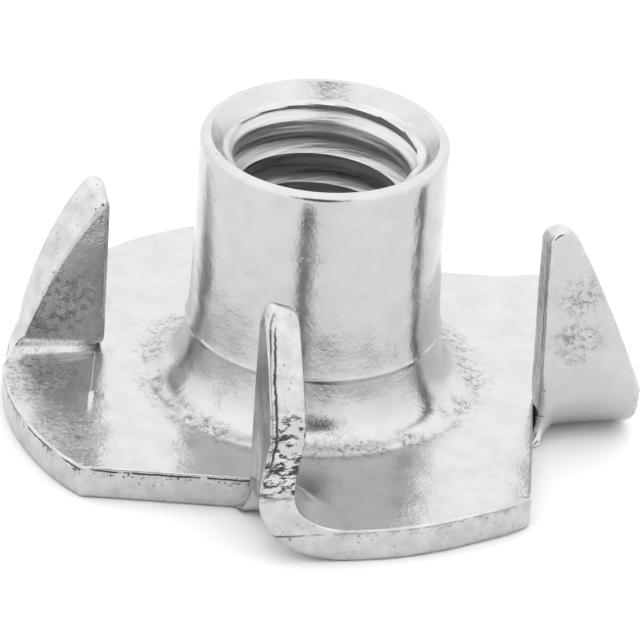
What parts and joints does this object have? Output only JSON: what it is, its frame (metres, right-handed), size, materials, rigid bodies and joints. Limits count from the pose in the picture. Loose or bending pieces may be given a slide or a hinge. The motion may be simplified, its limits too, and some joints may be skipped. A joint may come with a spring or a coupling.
{
  "type": "tee nut",
  "caption": "Zinc-plated steel tee nut: a round flange, a short threaded barrel and four prongs folded up from the flange's edge.",
  "frame": {"origin": "on the barrel's axis, at the underside of the flange", "axes": "+Z along the barrel's axis, from the flange towards the barrel's rim; each prong's fold starts near +X, +Y, -X or -Y"},
  "size_m": [0.0202, 0.0202, 0.0094],
  "materials": {
    "zinc_plated_steel": "bright zinc plating with fine scratches and pits"
  },
  "bodies": {
    "root": {"tee_nut": "zinc_plated_steel"}
  },
  "joints": []
}
